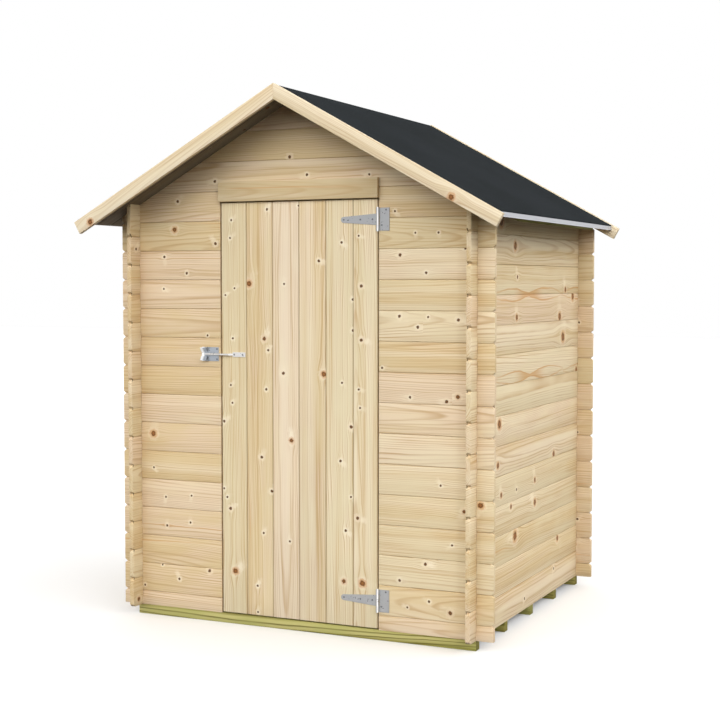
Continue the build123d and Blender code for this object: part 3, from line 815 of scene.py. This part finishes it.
# where screws sit: in x, above or below the level, and how far their seat stands out of the wall
hinge = {"levels": {"lower": 0.158, "upper": 1.655}, "out": 0.0025,
         "strapScrews": ((0.206, 0), (0.278, 0), (0.330, 0)),
         "plateScrews": ((0.388, 0.036), (0.370, -0.023))}
latch = {"level": 1.115, "footOut": 0.003, "footScrews": ((-0.291, 0), (-0.252, 0)), "catchOut": 0.0025,
         "catchScrews": ((-0.373, 0.021), (-0.373, -0.021), (-0.437, 0.021), (-0.437, -0.021))}
screwsOn = {}
for level, z in hinge["levels"].items():
    screwsOn[f"hinge_strap_{level}"] = ("door", z, hinge["out"], hinge["strapScrews"])
    screwsOn[f"hinge_plate_{level}"] = ("shed", z, hinge["out"], hinge["plateScrews"])
screwsOn["latch_striker"] = ("door", latch["level"], latch["footOut"], latch["footScrews"])
screwsOn["latch_catch"] = ("shed", latch["level"], latch["catchOut"], latch["catchScrews"])
dice = random.Random(7)
for name, (body, z, out, places) in screwsOn.items():
    heads = [screwHead(f"{name}Screw{n}", (x, shed["frontY"] - out, z + rise), dice.uniform(0, math.pi))
             for n, (x, rise) in enumerate(places)]
    screws = joinPieces(heads, name + "_screws")
    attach(screws, body)
print("ironwork finished")

# floor: white where it is seen, and dim in the light that it throws back on the shed
floorLook = {"size": 60.0, "below": 0.0005, "white": (250, 250, 250), "dim": (52, 51, 50)}
bpy.ops.object.select_all(action="DESELECT")
bpy.ops.mesh.primitive_plane_add(size=floorLook["size"], location=(0, 0, -floorLook["below"]))
floor = bpy.context.object
floor.name = "studioFloor"
material, tree, shader = freshMaterial("studioFloor")
floorColour = blendPaint(tree, seenPlainly(tree), paint(*floorLook["dim"]), paint(*floorLook["white"]))
tree.links.new(floorColour, shader.inputs["Base Color"])
shader.inputs["Roughness"].default_value = 1.0
shader.inputs["Specular IOR Level"].default_value = 0.0
floor.data.materials.append(material)

# sky: eight soft panels round the shed, by degrees from the front towards the right, each with its brightness
# low down and at mid height; the heights are shares of straight up, and turn is how far a panel reaches
sky = {"heights": (0.0, 0.3, 0.6, 0.85), "turn": 45.0, "gain": 1.04,
       "panels": {-90: (2.1, 1.2), -45: (3.6, 1.6), 0: (4.2, 2.3), 45: (2.7, 3.2), 90: (1.6, 4.4),
                  135: (1.6, 3.6), 180: (1.5, 2.5), 225: (2.0, 2.5)}}
world = bpy.data.worlds.new("studio")
bpy.context.scene.world = world
world.use_nodes = True
tree = world.node_tree
tree.nodes.clear()
sideways, behind, height = parts3(tree, tree.nodes.new("ShaderNodeTexCoord").outputs["Generated"])
bearing = calc(tree, "ARCTAN2", sideways, times(tree, behind, -1.0))
ground, lowAt, midAt, highAt = sky["heights"]
lowShare = times(tree, ramp(tree, height, ground, lowAt), ramp(tree, height, lowAt, midAt, 1.0, 0.0))
midShare = times(tree, ramp(tree, height, lowAt, midAt), ramp(tree, height, midAt, highAt, 1.0, 0.0))
strength = 0.0
for degrees, (low, mid) in sky["panels"].items():
    off = calc(tree, "SUBTRACT", bearing, math.radians(degrees))
    off = calc(tree, "ARCTAN2", calc(tree, "SINE", off), calc(tree, "COSINE", off))
    off = calc(tree, "MINIMUM", unsigned(tree, off), math.radians(sky["turn"]))
    near = calc(tree, "COSINE", times(tree, off, 90.0 / sky["turn"]))
    panel = timesPlus(tree, lowShare, low * sky["gain"], times(tree, midShare, mid * sky["gain"]))
    strength = timesPlus(tree, times(tree, near, near), panel, strength)
seen = seenPlainly(tree)
strength = plus(tree, times(tree, strength, calc(tree, "SUBTRACT", 1.0, seen)), seen)
background = tree.nodes.new("ShaderNodeBackground")
background.inputs["Color"].default_value = (1, 1, 1, 1)
plug(tree, strength, background.inputs["Strength"])
output = tree.nodes.new("ShaderNodeOutputWorld")
tree.links.new(background.outputs[0], output.inputs[0])

# a narrow strip lamp, for the glint on round metal: metres, degrees to the right and up, watts
softbox = {"size": (0.14, 4.0), "away": 6.5, "turn": 42.0, "rise": 12.0, "power": 26.0, "aim": (0, 0, 1.0)}
turn, rise = math.radians(softbox["turn"]), math.radians(softbox["rise"])
lamp = bpy.data.lights.new("softbox", "AREA")
lamp.shape = "RECTANGLE"
lamp.size, lamp.size_y = softbox["size"]
lamp.energy = softbox["power"]
lampObject = bpy.data.objects.new("softbox", lamp)
bpy.context.collection.objects.link(lampObject)
toLamp = Vector((math.sin(turn) * math.cos(rise), -math.cos(turn) * math.cos(rise), math.sin(rise)))
lampObject.location = Vector(softbox["aim"]) + toLamp * softbox["away"]
lampObject.rotation_euler = toLamp.to_track_quat("Z", "Y").to_euler()

# the photograph's camera: metres, degrees to the left and down, and the lens and sensor in mm
view = {"place": (2.6335, -5.6856, 1.4088), "turn": 24.935, "dip": 3.1045, "lens": 71.28, "sensor": 36.0}
turn, dip = math.radians(view["turn"]), math.radians(view["dip"])
lookWay = Vector((-math.sin(turn) * math.cos(dip), math.cos(turn) * math.cos(dip), -math.sin(dip)))
camera = bpy.data.cameras.new("camera")
camera.lens = view["lens"]
camera.sensor_width = view["sensor"]
cameraObject = bpy.data.objects.new("camera", camera)
bpy.context.collection.objects.link(cameraObject)
cameraObject.location = view["place"]
cameraObject.rotation_euler = lookWay.to_track_quat("-Z", "Y").to_euler()
bpy.context.scene.camera = cameraObject
bpy.context.scene.view_settings.view_transform = "Standard"
print("floor, sky, lamp and camera set")

bpy.context.view_layer.update()
